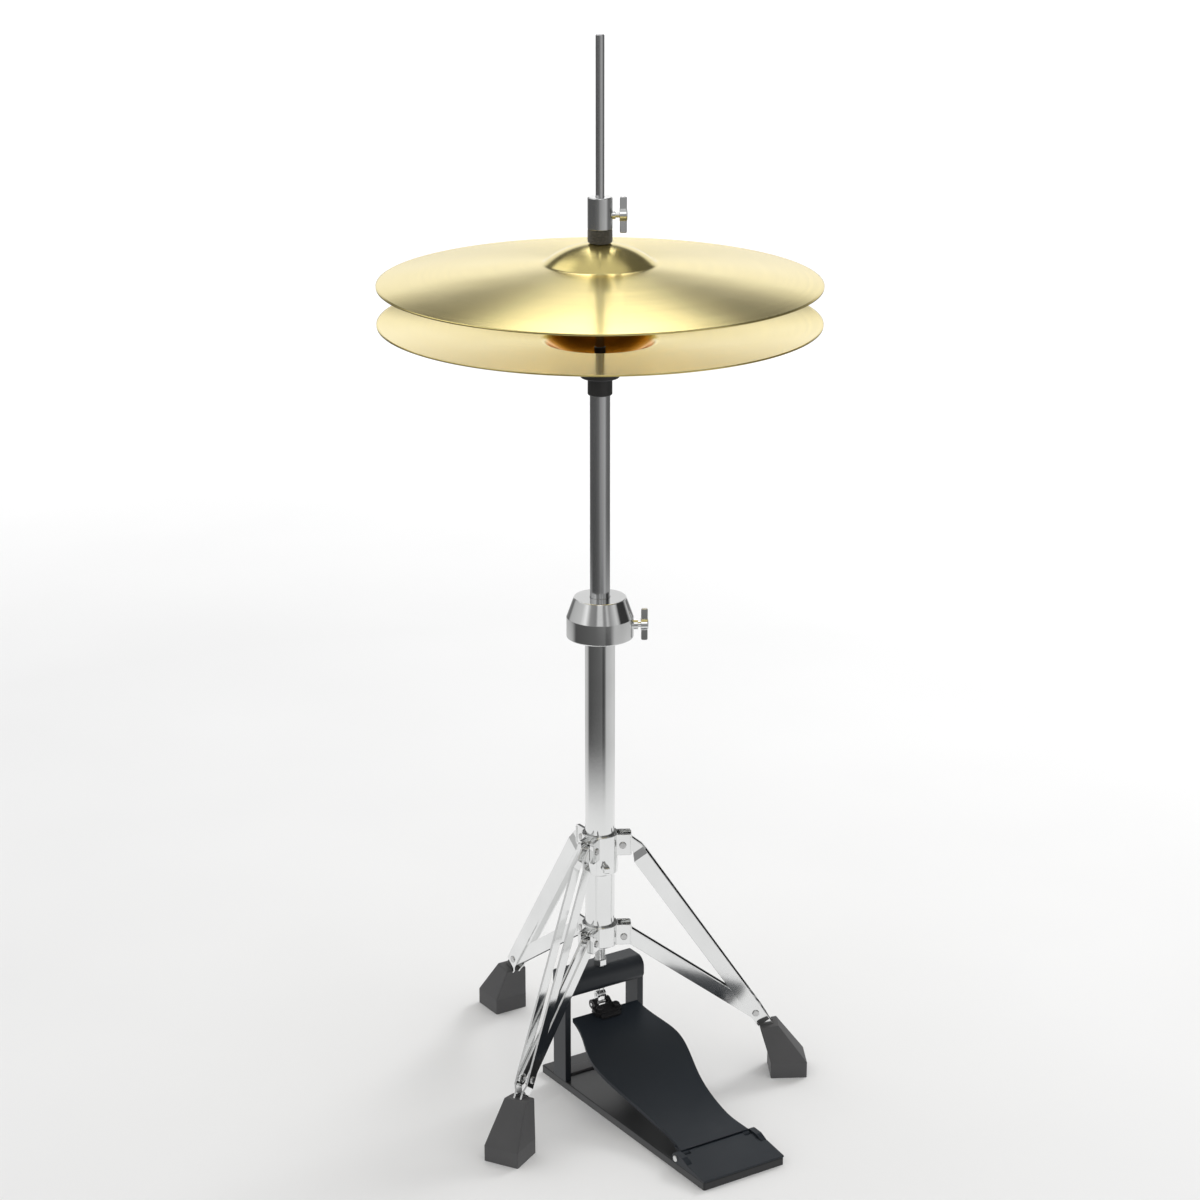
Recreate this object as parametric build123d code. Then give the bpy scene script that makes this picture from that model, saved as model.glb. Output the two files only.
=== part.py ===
from build123d import *
import math
import os

# A foot-operated hi-hat: stand, pedal, pull rod, and a pair of cymbals. Millimetres, +Z up.
# The origin is on the floor, on the tube's axis. The pedal's heel points to -Y.

# ---- Driving dimensions ----
LEG_AZIMUTHS = {"rear": 90, "left": 210, "right": 330}
WING_AZIMUTH = 330          # both wing screws point this way
KEY_SCREW_AZIMUTH = 252
FIT = 0.05                  # radial clearance of pins, threads and press fits
GAP = 0.3                   # clearance of faces that pass each other

CYMBAL_R = 177.8            # 14 inch pair
CYMBAL_T = 1.2
CYMBAL_HOLE_R = 5.6
BELL_R = 45.0
TOP_RIM_Z = 699.3
TOP_BELL_Z = 715.0
TOP_CROWN_Z = 731.0
LOW_RIM_Z = 667.2
LOW_BELL_Z = 651.5
LOW_CROWN_Z = 635.5

ROD_R = 3.5
ROD_TOP = 894.6
COUPLER_Z = (248.0, 264.0)   # stays above the guide bush when the pedal is down
COUPLER_ACROSS = 9.5
ROD_DEPTH = 8.0              # how far each rod goes into the coupler
PULL_ROD_R = 3.0
SPRING_CUP_R = 9.5
STEM_R = 4.9                 # threaded stem under the clutch
STEM_Z = (713.0, 748.0)
CLUTCH_R = 10.0
CLUTCH_Z = (742.7, 768.0)
CLUTCH_SCREW_Z = 753.4
CLUTCH_SCREW_R = 2.35
CLUTCH_NUT_Z = (715.5, 723.4)
LOWER_FELT_Z = (723.5, 728.7)
UPPER_FELT_Z = (731.4, 742.6)
FELT_R = 10.0
SLEEVE_R = 4.5
SLEEVE_Z = (612.05, 647.0)
SEAT_FLANGE_R = 16.0
SEAT_FLANGE_Z = (622.0, 626.0)
SEAT_FELT_R = 17.0
SEAT_FELT_Z = (626.1, 635.1)

UPPER_TUBE_R = 8.3
UPPER_TUBE_WALL = 1.5
UPPER_TUBE_Z = (330.0, 607.6)
LOWER_TUBE_R = 12.5
LOWER_TUBE_WALL = 1.5
LOWER_TUBE_Z = (130.0, 430.0)
CLAMP_Z = (402.4, 419.8, 436.5)
CLAMP_R = (27.75, 21.8)
CLAMP_SCREW_Z = 412.0
CLAMP_SCREW_R = 2.5
HUB_R = 4.9                  # round middle of a wing screw's head
UPPER_HUB_Z = (193.0, 228.0)
UPPER_EARS_Z = (208.5, 227.0)
LOWER_HUB_Z = (126.0, 145.0)
LOWER_EARS_Z = (126.0, 144.0)
HUB_COLLAR_R = 15.4
EAR_R = 26.8                 # how far a clevis reaches from the axis
EAR_HALF = 6.8
KEY_SCREW_Z = 201.0
KEY_SCREW_R = 2.0

LEG_PIVOT = (18.9, 217.6)    # radius, height
STRUT_PIVOT = (20.0, 133.3)
FOOT_RIVET = (134.1, 57.8)
LEG_SLOPE = math.degrees(math.atan2(LEG_PIVOT[1] - FOOT_RIVET[1], FOOT_RIVET[0] - LEG_PIVOT[0]))
STRIP_T = 1.6
LEG_IN = 2.25                # inner face of a leg strip inside the clevis
LEG_OUT = 4.4                # inner face of a leg strip outside it
STRUT_IN = 2.6
PIVOT_R = 2.0
RIVET_SLOT_R = 3.9           # hole in the strut, wide enough for the fold
RIVET_HEAD_R = 3.0

PLATE_X = 39.7
PLATE_Y = (-214.5, 31.2)
PLATE_T = 6.8
POST_IN = 34.2
POST_Y = (-7.0, 11.9)
BEAM_Y = (-9.6, 12.4)
BEAM_Z = (84.5, 105.3)
HEEL_PIN = (-174.0, 10.6)    # y, z
HEEL_PIN_R = 2.1
HEEL_BARREL_R = 3.5
BARREL_X = 26.9              # the heel plate's barrel ends here, the board's knuckles start beside it
KNUCKLE_X = (27.3, 33.4)
EAR_X = 34.4                 # inner face of the heel plate's ears
BOARD_T = 3.5
TOE = (-8.0, 65.6)           # y, z of the board's top edge at the toe
TOE_SLOPE = 16.4
TOE_BOLT_R = 1.6
TOE_BOLTS = [(side * 8.4, -3.0) for side in (-1, 1)]
CHAIN_PITCH = 8.0
CHAIN_BOTTOM = 69.0          # height of the toe pin, on the tube's axis
CHAIN_PIN_R = 1.5
TOE_PIN_HOLE_R = 2.2
SPRING_Z = (135.3, 205.0)
SPRING_TURNS = 11
CONNECTOR_R = 4.5
CONNECTOR_Z = (98.6, 131.0)
FRAME_SCREW_R = 1.5
POST_SCREW_TOP = 16.0
HEEL_SCREW_TOP = 9.2
POST_SCREWS = [(side * 36.9, y) for side in (-1, 1) for y in (-3.0, 8.0)]
HEEL_SCREWS = [(side * 22.0, -190.0) for side in (-1, 1)]


# ---- Helpers ----
def disc(radius, z0, z1):
    return Pos(0, 0, (z0 + z1) / 2) * Cylinder(radius, z1 - z0)


def ring(outer, inner, z0, z1):
    return disc(outer, z0, z1) - disc(inner, z0 - 1, z1 + 1)


def block(x, y, z):
    return Pos(sum(x) / 2, sum(y) / 2, sum(z) / 2) * Box(x[1] - x[0], y[1] - y[0], z[1] - z[0])


def rod_x(radius, x0, x1, y=0.0, z=0.0):
    return Pos((x0 + x1) / 2, y, z) * Rot(0, 90, 0) * Cylinder(radius, x1 - x0)


def rod_y(radius, y0, y1, x=0.0, z=0.0):
    return Pos(x, (y0 + y1) / 2, z) * Rot(90, 0, 0) * Cylinder(radius, y1 - y0)


def slab_xz(points, y0, y1):
    face = Plane.XZ * make_face(Polyline(*points, close=True))
    return Pos(0, y1, 0) * extrude(face, y1 - y0)


def slab_yz(points, x0, x1):
    face = Plane.YZ * make_face(Polyline(*points, close=True))
    return Pos(x0, 0, 0) * extrude(face, x1 - x0)


def around(shape, azimuth):
    return Rot(0, 0, azimuth) * shape


def hexagon(across, z0, z1):
    return Pos(0, 0, z0) * extrude(RegularPolygon(across / 2, 6, major_radius=False), z1 - z0)


# ---- Cymbals ----
def cymbal(rim_z, bell_z, crown_z):
    """A thin shell of revolution: a bowed plate with a domed bell and a centre hole."""
    up = 1 if crown_z > rim_z else -1
    bow_sag = 2.0
    bell_blend = 2.5

    def surface(drop):
        rim = (CYMBAL_R, rim_z - up * drop)
        bell = (BELL_R, bell_z - up * drop)
        crown = (CYMBAL_HOLE_R, crown_z - up * drop)
        bow_mid = ((rim[0] + bell[0]) / 2, (rim[1] + bell[1]) / 2 + up * bow_sag)
        bell_mid = (BELL_R * 0.6, bell[1] + (crown[1] - bell[1]) * 0.69)
        return rim, bow_mid, bell, bell_mid, crown

    top = surface(0)
    under = surface(CYMBAL_T)
    outline = [
        ThreePointArc(top[0], top[1], top[2]),
        ThreePointArc(top[2], top[3], top[4]),
        Line(top[4], under[4]),
        ThreePointArc(under[4], under[3], under[2]),
        ThreePointArc(under[2], under[1], under[0]),
        Line(under[0], top[0]),
    ]
    face = make_face(outline)
    corners = [v for v in face.vertices() if abs(v.X - BELL_R) < 0.01]
    face = fillet(corners, bell_blend)
    return revolve(Plane.XZ * face, Axis.Z)


# ---- Rod, clutch and cymbal seat ----
def center_rod():
    rod = disc(ROD_R, COUPLER_Z[1] - ROD_DEPTH, ROD_TOP)
    return chamfer(rod.edges().group_by(Axis.Z)[-1], 0.6)


def rod_coupler():
    body = hexagon(COUPLER_ACROSS, *COUPLER_Z)
    upper = disc(ROD_R + FIT, COUPLER_Z[1] - ROD_DEPTH - FIT, COUPLER_Z[1] + 1)
    lower = disc(PULL_ROD_R + FIT, COUPLER_Z[0] - 1, COUPLER_Z[0] + ROD_DEPTH - 1)
    return body - upper - lower


def pull_rod():
    """Round rod with a flat eye at its foot and the spring's cup near its head."""
    eye_z = CHAIN_BOTTOM + 3 * CHAIN_PITCH
    tongue_x = 2.7
    rod = disc(PULL_ROD_R, eye_z + 4, COUPLER_Z[0] + ROD_DEPTH - 1 - FIT)
    eye = rod_x(PULL_ROD_R, -tongue_x, tongue_x, z=eye_z)
    neck = block((-tongue_x, tongue_x), (-2.2, 2.2), (eye_z, eye_z + 4.5))
    cup = disc(SPRING_CUP_R, SPRING_Z[1] + 0.1, SPRING_Z[1] + 5)
    return rod + eye + neck + cup - rod_x(CHAIN_PIN_R + FIT, -5, 5, z=eye_z)


def clutch_body():
    body = disc(CLUTCH_R, *CLUTCH_Z)
    body = fillet(body.edges().group_by(Axis.Z)[-1], 0.8)
    boss = rod_x(3.5, CLUTCH_R - 2, 12.1, z=CLUTCH_SCREW_Z)
    thread = rod_x(CLUTCH_SCREW_R + FIT, ROD_R, 13, z=CLUTCH_SCREW_Z)
    body = body + around(boss, WING_AZIMUTH) - around(thread, WING_AZIMUTH)
    body -= disc(ROD_R + GAP, CLUTCH_Z[0] - 1, CLUTCH_Z[1] + 1)
    return body - disc(STEM_R + FIT, CLUTCH_Z[0] - 1, STEM_Z[1] + FIT)


def clutch_stem():
    return ring(STEM_R, ROD_R + GAP, *STEM_Z)


def clutch_nut():
    """Round nut with finger flutes round its rim."""
    z0, z1 = CLUTCH_NUT_Z
    nut = disc(9.2, z0, z1)
    flutes = 12
    for i in range(flutes):
        nut -= around(Pos(9.6, 0, 0) * disc(1.0, z0 - 1, z1 + 1), i * 360 / flutes)
    return nut - disc(STEM_R + FIT, z0 - 1, z1 + 1)


def wing_screw(head, tip, z, span, shaft_r):
    """Screw along +X: shaft, round hub and two square-ended wings in the vertical plane."""
    inner, outer = head
    wing_half_t = 1.5
    wing_inset = 0.3
    hub = rod_x(HUB_R, inner, outer)
    hub = fillet(hub.edges().group_by(Axis.X)[-1], 0.8)
    shaft = rod_x(shaft_r, tip, inner + 1)
    across = (inner + wing_inset, outer - wing_inset)
    wings = block(across, (-wing_half_t, wing_half_t), (-span / 2, span / 2))
    wings = fillet(wings.edges().filter_by(Axis.Y), 1.2)
    wings = chamfer(wings.faces().sort_by(Axis.Y)[0].edges() + wings.faces().sort_by(Axis.Y)[-1].edges(), 0.4)
    return around(Pos(0, 0, z) * (hub + shaft + wings), WING_AZIMUTH)


def seat_holder():
    """Nylon body that plugs into the upper tube, with a flange for the felt and a socket for the sleeve."""
    spigot_z = UPPER_TUBE_Z[1] - 22
    body = disc(CLUTCH_R, UPPER_TUBE_Z[1] + FIT, SEAT_FLANGE_Z[0])
    body = fillet(body.edges().group_by(Axis.Z)[0], 1.0)
    spigot = disc(UPPER_TUBE_R - UPPER_TUBE_WALL - FIT, spigot_z, UPPER_TUBE_Z[1] + 2)
    flange = disc(SEAT_FLANGE_R, *SEAT_FLANGE_Z)
    flange = fillet(flange.edges(), 1.2)
    whole = body + spigot + flange
    return whole - disc(ROD_R + GAP, spigot_z - 1, 630) - disc(SLEEVE_R + FIT, SLEEVE_Z[0] - FIT, 630)


def seat_sleeve():
    return ring(SLEEVE_R, ROD_R + GAP, *SLEEVE_Z)


def felt(outer, inner, z0, z1):
    washer = ring(outer, inner, z0, z1)
    rims = washer.edges().filter_by(GeomType.CIRCLE).sort_by(SortBy.RADIUS)[-2:]
    return fillet(rims, 0.8)


# ---- Tubes, clamp and hubs ----
def lower_tube():
    tube = ring(LOWER_TUBE_R, LOWER_TUBE_R - LOWER_TUBE_WALL, *LOWER_TUBE_Z)
    return tube - around(rod_x(CLAMP_SCREW_R + GAP, 5, 20, z=CLAMP_SCREW_Z), WING_AZIMUTH)


def height_clamp():
    z0, z1, z2 = CLAMP_Z
    collar = disc(CLAMP_R[0], z0, z1)
    collar += Pos(0, 0, (z1 + z2) / 2) * Cone(CLAMP_R[0], CLAMP_R[1], z2 - z1)
    ends = collar.edges().group_by(Axis.Z)
    collar = fillet(ends[-1] + ends[0], 0.8)
    collar += around(rod_x(4.4, 24, 31.2, z=CLAMP_SCREW_Z), WING_AZIMUTH)
    collar -= around(rod_x(CLAMP_SCREW_R + FIT, 5, 34, z=CLAMP_SCREW_Z), WING_AZIMUTH)
    collar -= disc(LOWER_TUBE_R + FIT, z0 - 1, LOWER_TUBE_Z[1] + FIT)
    return collar - disc(UPPER_TUBE_R + GAP, z0, z2 + 1)


def clamp_bush():
    outer = LOWER_TUBE_R - LOWER_TUBE_WALL - FIT
    return ring(outer, UPPER_TUBE_R + FIT, CLAMP_Z[0] - 4, LOWER_TUBE_Z[1])


def clevis(ear_z, pivot, half_slot, floor_r):
    """One bracket of a hub, at azimuth 0: its two ears, and what is cut out for the leg."""
    lip = 1.4
    ears = block((10, EAR_R), (-EAR_HALF, EAR_HALF), ear_z)
    ears = fillet(ears.edges().filter_by(Axis.Y).group_by(Axis.X)[-1], 1.6)
    ribs = block((EAR_R - lip, EAR_R), (-EAR_HALF - 0.5, EAR_HALF + 0.5), (ear_z[0] + 2, ear_z[1] - 2))
    slot = block((floor_r, EAR_R + 5), (-half_slot, half_slot), (ear_z[0] - 20, ear_z[1] + 20))
    pin = rod_y(PIVOT_R + FIT, -20, 20, x=pivot[0], z=pivot[1])
    return ears + ribs, slot + pin


def hub(collar_z, ear_z, pivot, half_slot, floor_r):
    """A collar with a clevis towards each leg."""
    body = disc(HUB_COLLAR_R, *collar_z)
    ends = body.edges().group_by(Axis.Z)
    body = fillet(ends[0] + ends[-1], 0.8)
    ears, cut = clevis(ear_z, pivot, half_slot, floor_r)
    for azimuth in LEG_AZIMUTHS.values():
        body += around(ears, azimuth)
    for azimuth in LEG_AZIMUTHS.values():
        body -= around(cut, azimuth)
    return body


def upper_hub():
    """Slides on the tube when the legs fold, and is held by the key screw in its boss."""
    body = hub(UPPER_HUB_Z, UPPER_EARS_Z, LEG_PIVOT, LEG_IN + STRIP_T + 0.25, 13.9)
    body += around(rod_x(3.4, 13, 17.4, z=KEY_SCREW_Z), KEY_SCREW_AZIMUTH)
    body -= disc(LOWER_TUBE_R + GAP, UPPER_HUB_Z[0] - 1, UPPER_HUB_Z[1] + 1)
    return body - around(rod_x(KEY_SCREW_R + FIT, 5, 20, z=KEY_SCREW_Z), KEY_SCREW_AZIMUTH)


def lower_hub():
    """Holds the foot of the tube, and has a threaded floor for the connector."""
    body = hub(LOWER_HUB_Z, LOWER_EARS_Z, STRUT_PIVOT, STRUT_IN + STRIP_T + 0.25, 14.9)
    body -= disc(LOWER_TUBE_R + FIT, LOWER_TUBE_Z[0] - FIT, LOWER_HUB_Z[1] + 1)
    return body - disc(CONNECTOR_R + FIT, LOWER_HUB_Z[0] - 1, LOWER_TUBE_Z[0] + 1)


def key_screw():
    """Square-headed screw that locks the upper hub to the tube."""
    head = block((17.6, 23.5), (-2.4, 2.4), (-2.4, 2.4))
    head = fillet(head.edges().group_by(Axis.X)[-1], 0.6)
    screw = head + rod_x(KEY_SCREW_R, LOWER_TUBE_R + 0.1, 18) + rod_x(3.4, 17.5, 18.6)
    return around(Pos(0, 0, KEY_SCREW_Z) * screw, KEY_SCREW_AZIMUTH)


def rivet(place, seat):
    """Rivet along Y at (radius, height), with a domed head outside each seat."""
    x, z = place
    body = rod_y(PIVOT_R, -seat, seat, x=x, z=z)
    for side in (-1, 1):
        head = rod_y(RIVET_HEAD_R, *sorted((side * seat, side * (seat + 1))), x=x, z=z)
        body += fillet(head.edges().sort_by(Axis.Y)[-1 if side > 0 else 0], 0.7)
    return body


def pivot_rivets(pivot):
    """Three rivets, one across each clevis."""
    one = rivet(pivot, EAR_HALF + FIT)
    return Compound(children=[around(one, azimuth) for azimuth in LEG_AZIMUTHS.values()])


# ---- Legs, at azimuth 0, then turned ----
def leg_outline():
    x, z = LEG_PIVOT
    return [(x, z + 4.6), (27, 222.4), (35.4, 216), (137.6, 65.3), (147.2, 49.8), (156.4, 37.0),
            (147.3, 30.2), (138, 42.7), (28.7, 201.7), (27.9, 210.6), (x, z - 4.6)]


def leg_strips():
    """Two strips that stand apart between the clevis and the foot, and close in at both."""
    flat = slab_xz(leg_outline(), -10, 10)
    flat += rod_y(4.6, -10, 10, x=LEG_PIVOT[0], z=LEG_PIVOT[1])
    near, far = LEG_IN, LEG_OUT
    path = [(-10, near), (12.5, near), (18.5, far), (203.5, far), (209.5, near), (240, near)]
    band = path + [(s, v + STRIP_T) for s, v in reversed(path)]
    slope = math.radians(LEG_SLOPE)
    along = (math.cos(slope), 0, -math.sin(slope))
    across = (math.sin(slope), 0, math.cos(slope))
    plane = Plane(origin=(LEG_PIVOT[0], 0, LEG_PIVOT[1]), x_dir=along, z_dir=across)
    sheet = extrude(plane * make_face(Polyline(*band, close=True)), 30, both=True)
    strip = flat & sheet
    strip -= rod_y(PIVOT_R + FIT, -20, 20, x=LEG_PIVOT[0], z=LEG_PIVOT[1])
    strip -= rod_y(PIVOT_R + FIT, -20, 20, x=FOOT_RIVET[0], z=FOOT_RIVET[1])
    return [strip, mirror(strip, Plane.XZ)]


def strut_strips():
    x, z = STRUT_PIVOT
    rx, rz = FOOT_RIVET
    outline = [(x, z + 4.8), (27, 138.5), (rx + 3.4, rz + 5.0),
               (rx - 3.4, rz - 5.0), (27, 123.9), (x, z - 4.8)]
    strip = slab_xz(outline, STRUT_IN, STRUT_IN + STRIP_T)
    strip += rod_y(4.8, STRUT_IN, STRUT_IN + STRIP_T, x=x, z=z)
    strip += rod_y(6.0, STRUT_IN, STRUT_IN + STRIP_T, x=rx, z=rz)
    strip -= rod_y(PIVOT_R + FIT, 0, 20, x=x, z=z)
    strip -= rod_y(RIVET_SLOT_R, 0, 20, x=rx, z=rz)
    return [strip, mirror(strip, Plane.XZ)]


def foot_rivet():
    """Rivet through both strips of a leg, on which the strut's end turns."""
    return rivet(FOOT_RIVET, LEG_OUT + STRIP_T + FIT)


def rubber_foot():
    """Square block that leans inwards to a smaller top, slotted for the leg's ends."""
    inner, outer, half = 147.0, 178.4, 15.7
    shoulder = 13.8
    top = [(137.8, 44.5), (153.5, 47.3)]
    base = block((inner, outer), (-half, half), (0, shoulder))
    low = Plane(origin=(0, 0, shoulder)) * make_face(Polyline(
        (inner, -half), (outer, -half), (outer, half), (inner, half), close=True))
    tilt = math.degrees(math.atan2(top[1][1] - top[0][1], top[1][0] - top[0][0]))
    length = math.dist(top[0], top[1])
    up = Pos(top[0][0], 0, top[0][1]) * Rot(0, -tilt, 0) * make_face(Polyline(
        (0, -10), (length, -10), (length, 10), (0, 10), close=True))
    block_top = loft([low, up])
    foot = base + block_top
    edges = [e for e in foot.edges() if e.length > 10 and e.center().Z > 1]
    foot = fillet(edges, 1.2)
    outline = make_face(Polyline(*leg_outline(), close=True))
    wide = extrude(Plane.XZ * offset(outline, 0.15, kind=Kind.INTERSECTION), 10, both=True)
    for side in (-1, 1):
        ends = sorted((side * (LEG_IN - FIT), side * (LEG_IN + STRIP_T + FIT)))
        foot -= wide & block((100, 200), ends, (0, 100))
    return foot


def at_leg(solids, azimuth):
    return Compound(children=[around(s, azimuth) for s in solids])


# ---- Connector between hub and pedal ----
def connector_stem():
    return ring(CONNECTOR_R, PULL_ROD_R + GAP, *CONNECTOR_Z)


def connector_nuts():
    nuts = []
    thick = 5.0
    for z0 in (BEAM_Z[1] + 0.1, LOWER_HUB_Z[0] - 0.2 - thick):
        nuts.append(hexagon(10.4, z0, z0 + thick) - disc(CONNECTOR_R + FIT, z0 - 1, z0 + thick + 1))
    return Compound(children=nuts)


# ---- Pedal ----
def base_plate():
    plate = block((-PLATE_X, PLATE_X), PLATE_Y, (0, PLATE_T))
    plate = fillet(plate.edges().filter_by(Axis.Z), 1.5)
    plate = chamfer(plate.edges().group_by(Axis.Z)[-1], 0.5)
    for x, y in POST_SCREWS + HEEL_SCREWS:
        plate -= Pos(x, y, 0) * countersunk(FIT, PLATE_T + 1)
    return plate


def countersunk(grow, top):
    """A flat-head screw standing head down on the floor side of the plate."""
    head = Pos(0, 0, 0.5) * Cone(2.4 + grow, FRAME_SCREW_R + grow, 1.0)
    return head + disc(FRAME_SCREW_R + grow, 0, top)


def screws(places, top):
    return Compound(children=[Pos(x, y, 0.05) * countersunk(0, top) for x, y in places])


def pedal_frame():
    """Two posts and a rounded beam, with a threaded hole and a pocket for the chain."""
    post = block((POST_IN, PLATE_X), POST_Y, (PLATE_T, 95))
    posts = post + mirror(post, Plane.YZ)
    y0, y1 = BEAM_Y
    z0, z1 = BEAM_Z
    nose = 9.4
    section = [
        Line((y1, z0), (y1, z1)),
        Line((y1, z1), (y0 + nose, z1)),
        ThreePointArc((y0 + nose, z1), (y0 + nose * 0.293, z1 - nose * 0.293), (y0, z1 - nose)),
        Line((y0, z1 - nose), (y0, z0 + 6)),
        ThreePointArc((y0, z0 + 6), (y0 + 1.76, z0 + 1.76), (y0 + 6, z0)),
        Line((y0 + 6, z0), (y1, z0)),
    ]
    beam = Pos(-PLATE_X, 0, 0) * extrude(Plane.YZ * make_face(section), 2 * PLATE_X)
    frame = posts + beam
    frame = fillet(frame.edges().filter_by(Axis.Y).group_by(Axis.Z)[-1], 1.5)
    frame -= disc(CONNECTOR_R + FIT, CONNECTOR_Z[0] - 1, z1 + 1)
    frame -= block((-6.6, 6.6), (-5.6, 5.6), (z0 - 1, CONNECTOR_Z[0] - 0.2))
    for x, y in POST_SCREWS:
        frame -= Pos(x, y, 0) * disc(FRAME_SCREW_R + FIT, PLATE_T - 1, POST_SCREW_TOP + 0.2)
    return frame


def toe_bumper():
    pad = block((-32, 32), (0.4, 13.4), (PLATE_T, PLATE_T + 2.2))
    return fillet(pad.edges().group_by(Axis.Z)[-1], 0.7)


def heel_plate():
    """Wedge whose top runs into the hinge barrel, with an ear at each side."""
    y, z = HEEL_PIN
    ear_r = 4.8
    front = PLATE_Y[0]
    nose_z = 8.2
    tilt = math.atan2(z + HEEL_BARREL_R - nose_z, y - front)
    crest = (y - HEEL_BARREL_R * math.sin(tilt), z + HEEL_BARREL_R * math.cos(tilt))
    body = slab_yz([(front, PLATE_T), (front, nose_z), crest, (y, z), (y, PLATE_T)], -PLATE_X, PLATE_X)
    knuckle_room = ((y - HEEL_BARREL_R - 0.6, y + 9), (PLATE_T - 1, z + 9))
    body += rod_x(HEEL_BARREL_R, -BARREL_X, BARREL_X, y=y, z=z)
    for side in (-1, 1):
        body -= block(sorted((side * BARREL_X, side * (PLATE_X + 1))), *knuckle_room)
        ends = sorted((side * EAR_X, side * PLATE_X))
        ear = rod_x(ear_r, *ends, y=y, z=z)
        ear += slab_yz([(y + ear_r, z), (y + ear_r, PLATE_T), (y - 16, PLATE_T), (y - 16, z + 1.4),
                        (y - 9, z + ear_r - 0.4), (y, z + ear_r)], *ends)
        body += ear & block((-50, 50), (front, 0), (PLATE_T, 30))
    body -= rod_x(HEEL_PIN_R + FIT, -45, 45, y=y, z=z)
    for x, sy in HEEL_SCREWS:
        body -= Pos(x, sy, 0) * disc(FRAME_SCREW_R + FIT, PLATE_T - 1, HEEL_SCREW_TOP + 0.2)
    return body


def heel_pin():
    y, z = HEEL_PIN
    pin = rod_x(HEEL_PIN_R, -PLATE_X - FIT, PLATE_X + FIT, y=y, z=z)
    for side in (-1, 1):
        ends = sorted((side * (PLATE_X + FIT), side * (PLATE_X + 1.0)))
        head = rod_x(2.7, *ends, y=y, z=z)
        pin += fillet(head.edges().sort_by(Axis.X)[-1 if side > 0 else 0], 0.6)
    return pin


def board_side():
    """The board's side view: an S from the raised toe to the heel hinge, as a band."""
    heel = (-172.9, 15.4)
    knots = [TOE, (-48, 52.8), (-92, 33.8), (-130, 22.8), heel]
    toe_dir = (-math.cos(math.radians(TOE_SLOPE)), -math.sin(math.radians(TOE_SLOPE)))
    top = Spline(*knots, tangents=(toe_dir, (-1, -0.16)))
    low = Spline(*[(y, z - BOARD_T) for y, z in knots], tangents=(toe_dir, (-1, -0.16)))
    return make_face([top, Line(top @ 1, low @ 1), low, Line(low @ 0, top @ 0)])


def board_plan():
    """The board's outline from above: wide at the ball of the foot, narrow at the arch."""
    half = [(TOE[0], 33.0), (-55, 45.0), (-98, 36.6), (-143, 30.8), (-172.9, 33.9)]
    right = Spline(*[(w, y) for y, w in half], tangents=((0.05, -1), (0.2, -1)))
    left = mirror(right, Plane.YZ)
    return make_face([right, Line(right @ 1, left @ 1), left, Line(left @ 0, right @ 0)])


def footboard():
    band = Pos(-60, 0, 0) * extrude(Plane.YZ * board_side(), 120)
    board = band & extrude(board_plan(), 120)
    y, z = HEEL_PIN
    board -= rod_x(HEEL_BARREL_R + 0.4, -KNUCKLE_X[0], KNUCKLE_X[0], y=y, z=z)
    for side in (-1, 1):
        ends = sorted(side * x for x in KNUCKLE_X)
        knuckle = rod_x(HEEL_BARREL_R, *ends, y=y, z=z)
        arm = slab_yz([(y, z + 3.5), (y + 5.0, 15.0), (y + 12, 15.0), (y + 8, 12.4), (y + 1.0, z - 3.3),
                       (y - 1.0, z)], *ends)
        board += knuckle + arm
    return board - rod_x(HEEL_PIN_R + FIT, -45, 45, y=y, z=z)


def on_toe(shape):
    """Places a shape whose +Y runs along the board towards the toe and +Z off its top."""
    return Pos(0, TOE[0], TOE[1]) * Rot(TOE_SLOPE, 0, 0) * shape


def toe_clamp():
    """Jaw over the board's toe with two cheeks that hold the chain's last pin."""
    jaw = block((-13, 13), (-7.5, 2.6), (0.05, 4.0))
    jaw = fillet(jaw.edges().filter_by(Axis.Z), 2.0)
    lip = block((-10, 10), (-11.5, -6), (0.05, 2.4))
    lip = fillet(lip.edges().filter_by(Axis.Z).group_by(Axis.Y)[0], 2.5)
    hook = block((-10, 10), (0.2, 2.6), (-4.0, 1))
    body = on_toe(jaw + lip + hook)
    cheek_r = 4.2
    for side in (-1, 1):
        ends = sorted((side * 5.3, side * 8.6))
        cheek = rod_x(cheek_r, *ends, z=CHAIN_BOTTOM)
        root = slab_yz([(0, CHAIN_BOTTOM + cheek_r), (-5.6, CHAIN_BOTTOM + 1.2), (-5.2, 62.4),
                        (0, CHAIN_BOTTOM - cheek_r)], *ends)
        body += cheek + root
    body -= rod_x(TOE_PIN_HOLE_R, -20, 20, z=CHAIN_BOTTOM)
    for x, y in TOE_BOLTS:
        body -= on_toe(Pos(x, y, 0) * disc(TOE_BOLT_R + FIT, -5, 6))
    return body


def toe_bolts():
    """Two screws with round heads that press the jaw onto the board."""
    bolts = []
    for x, y in TOE_BOLTS:
        head = disc(3.0, 4.1, 7.2)
        head = fillet(head.edges().group_by(Axis.Z)[-1], 0.9)
        bolts.append(on_toe(Pos(x, y, 0) * (head + disc(TOE_BOLT_R, 0.2, 4.2))))
    return Compound(children=bolts)


# ---- Chain: three pitches, with its pins along X ----
def link_plate(x0, x1, z_low, hole_r):
    """One figure-eight side plate between two pin centres."""
    end_r = 3.2
    z_high = z_low + CHAIN_PITCH
    plate = rod_x(end_r, x0, x1, z=z_low) + rod_x(end_r, x0, x1, z=z_high)
    plate += block((x0, x1), (-2.3, 2.3), (z_low, z_high))
    for z in (z_low, z_high):
        plate -= rod_x(hole_r, x0 - 1, x1 + 1, z=z)
    return plate


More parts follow.
